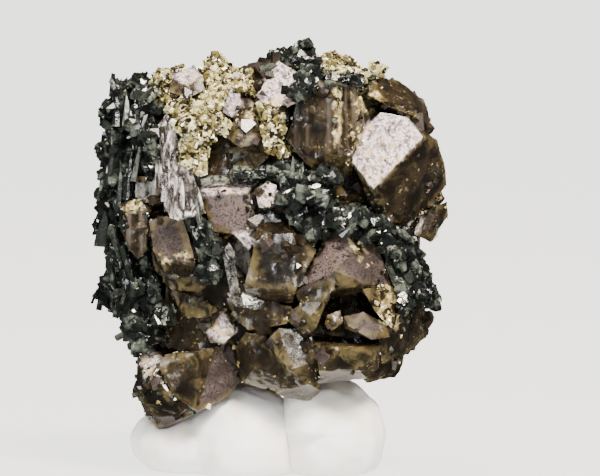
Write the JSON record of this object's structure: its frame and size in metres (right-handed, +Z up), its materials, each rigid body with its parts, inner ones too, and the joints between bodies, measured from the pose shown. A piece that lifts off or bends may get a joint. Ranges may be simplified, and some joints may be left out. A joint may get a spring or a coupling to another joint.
{
  "type": "andradite garnet specimen",
  "caption": "Cluster of brown garnet crystals with dark green bladed crystals, pale druse and clear prisms, standing on a lump of white putty.",
  "frame": {"origin": "on the table, on the flat foot of the putty, under the middle of the specimen", "axes": "+Z up, along the height of the specimen; +X to the right of a viewer who looks at the garnet faces; the viewer stands at -Y and looks along +Y; +Y points to the back of the specimen"},
  "size_m": [0.0326, 0.0253, 0.0397],
  "materials": {
    "garnet": "glossy crystal faces, dark brown with a purple-grey sheen",
    "green_crystal": "glossy black-green blades",
    "druse": "cream to gold, sparkling, finely grained",
    "frosted_crystal": "frosted, milky, pale grey",
    "clear_crystal": "clear, glossy",
    "putty": "matte white, soft"
  },
  "bodies": {
    "root": {"garnet_cluster": "garnet", "pale_prism": "frosted_crystal", "clear_prism": "clear_crystal", "green_flank": "green_crystal", "green_band": "green_crystal", "green_seam": "green_crystal", "green_crown": "green_crystal", "druse_left": "druse", "druse_streak": "druse", "druse_cap": "druse", "putty_mount": "putty"}
  },
  "joints": []
}
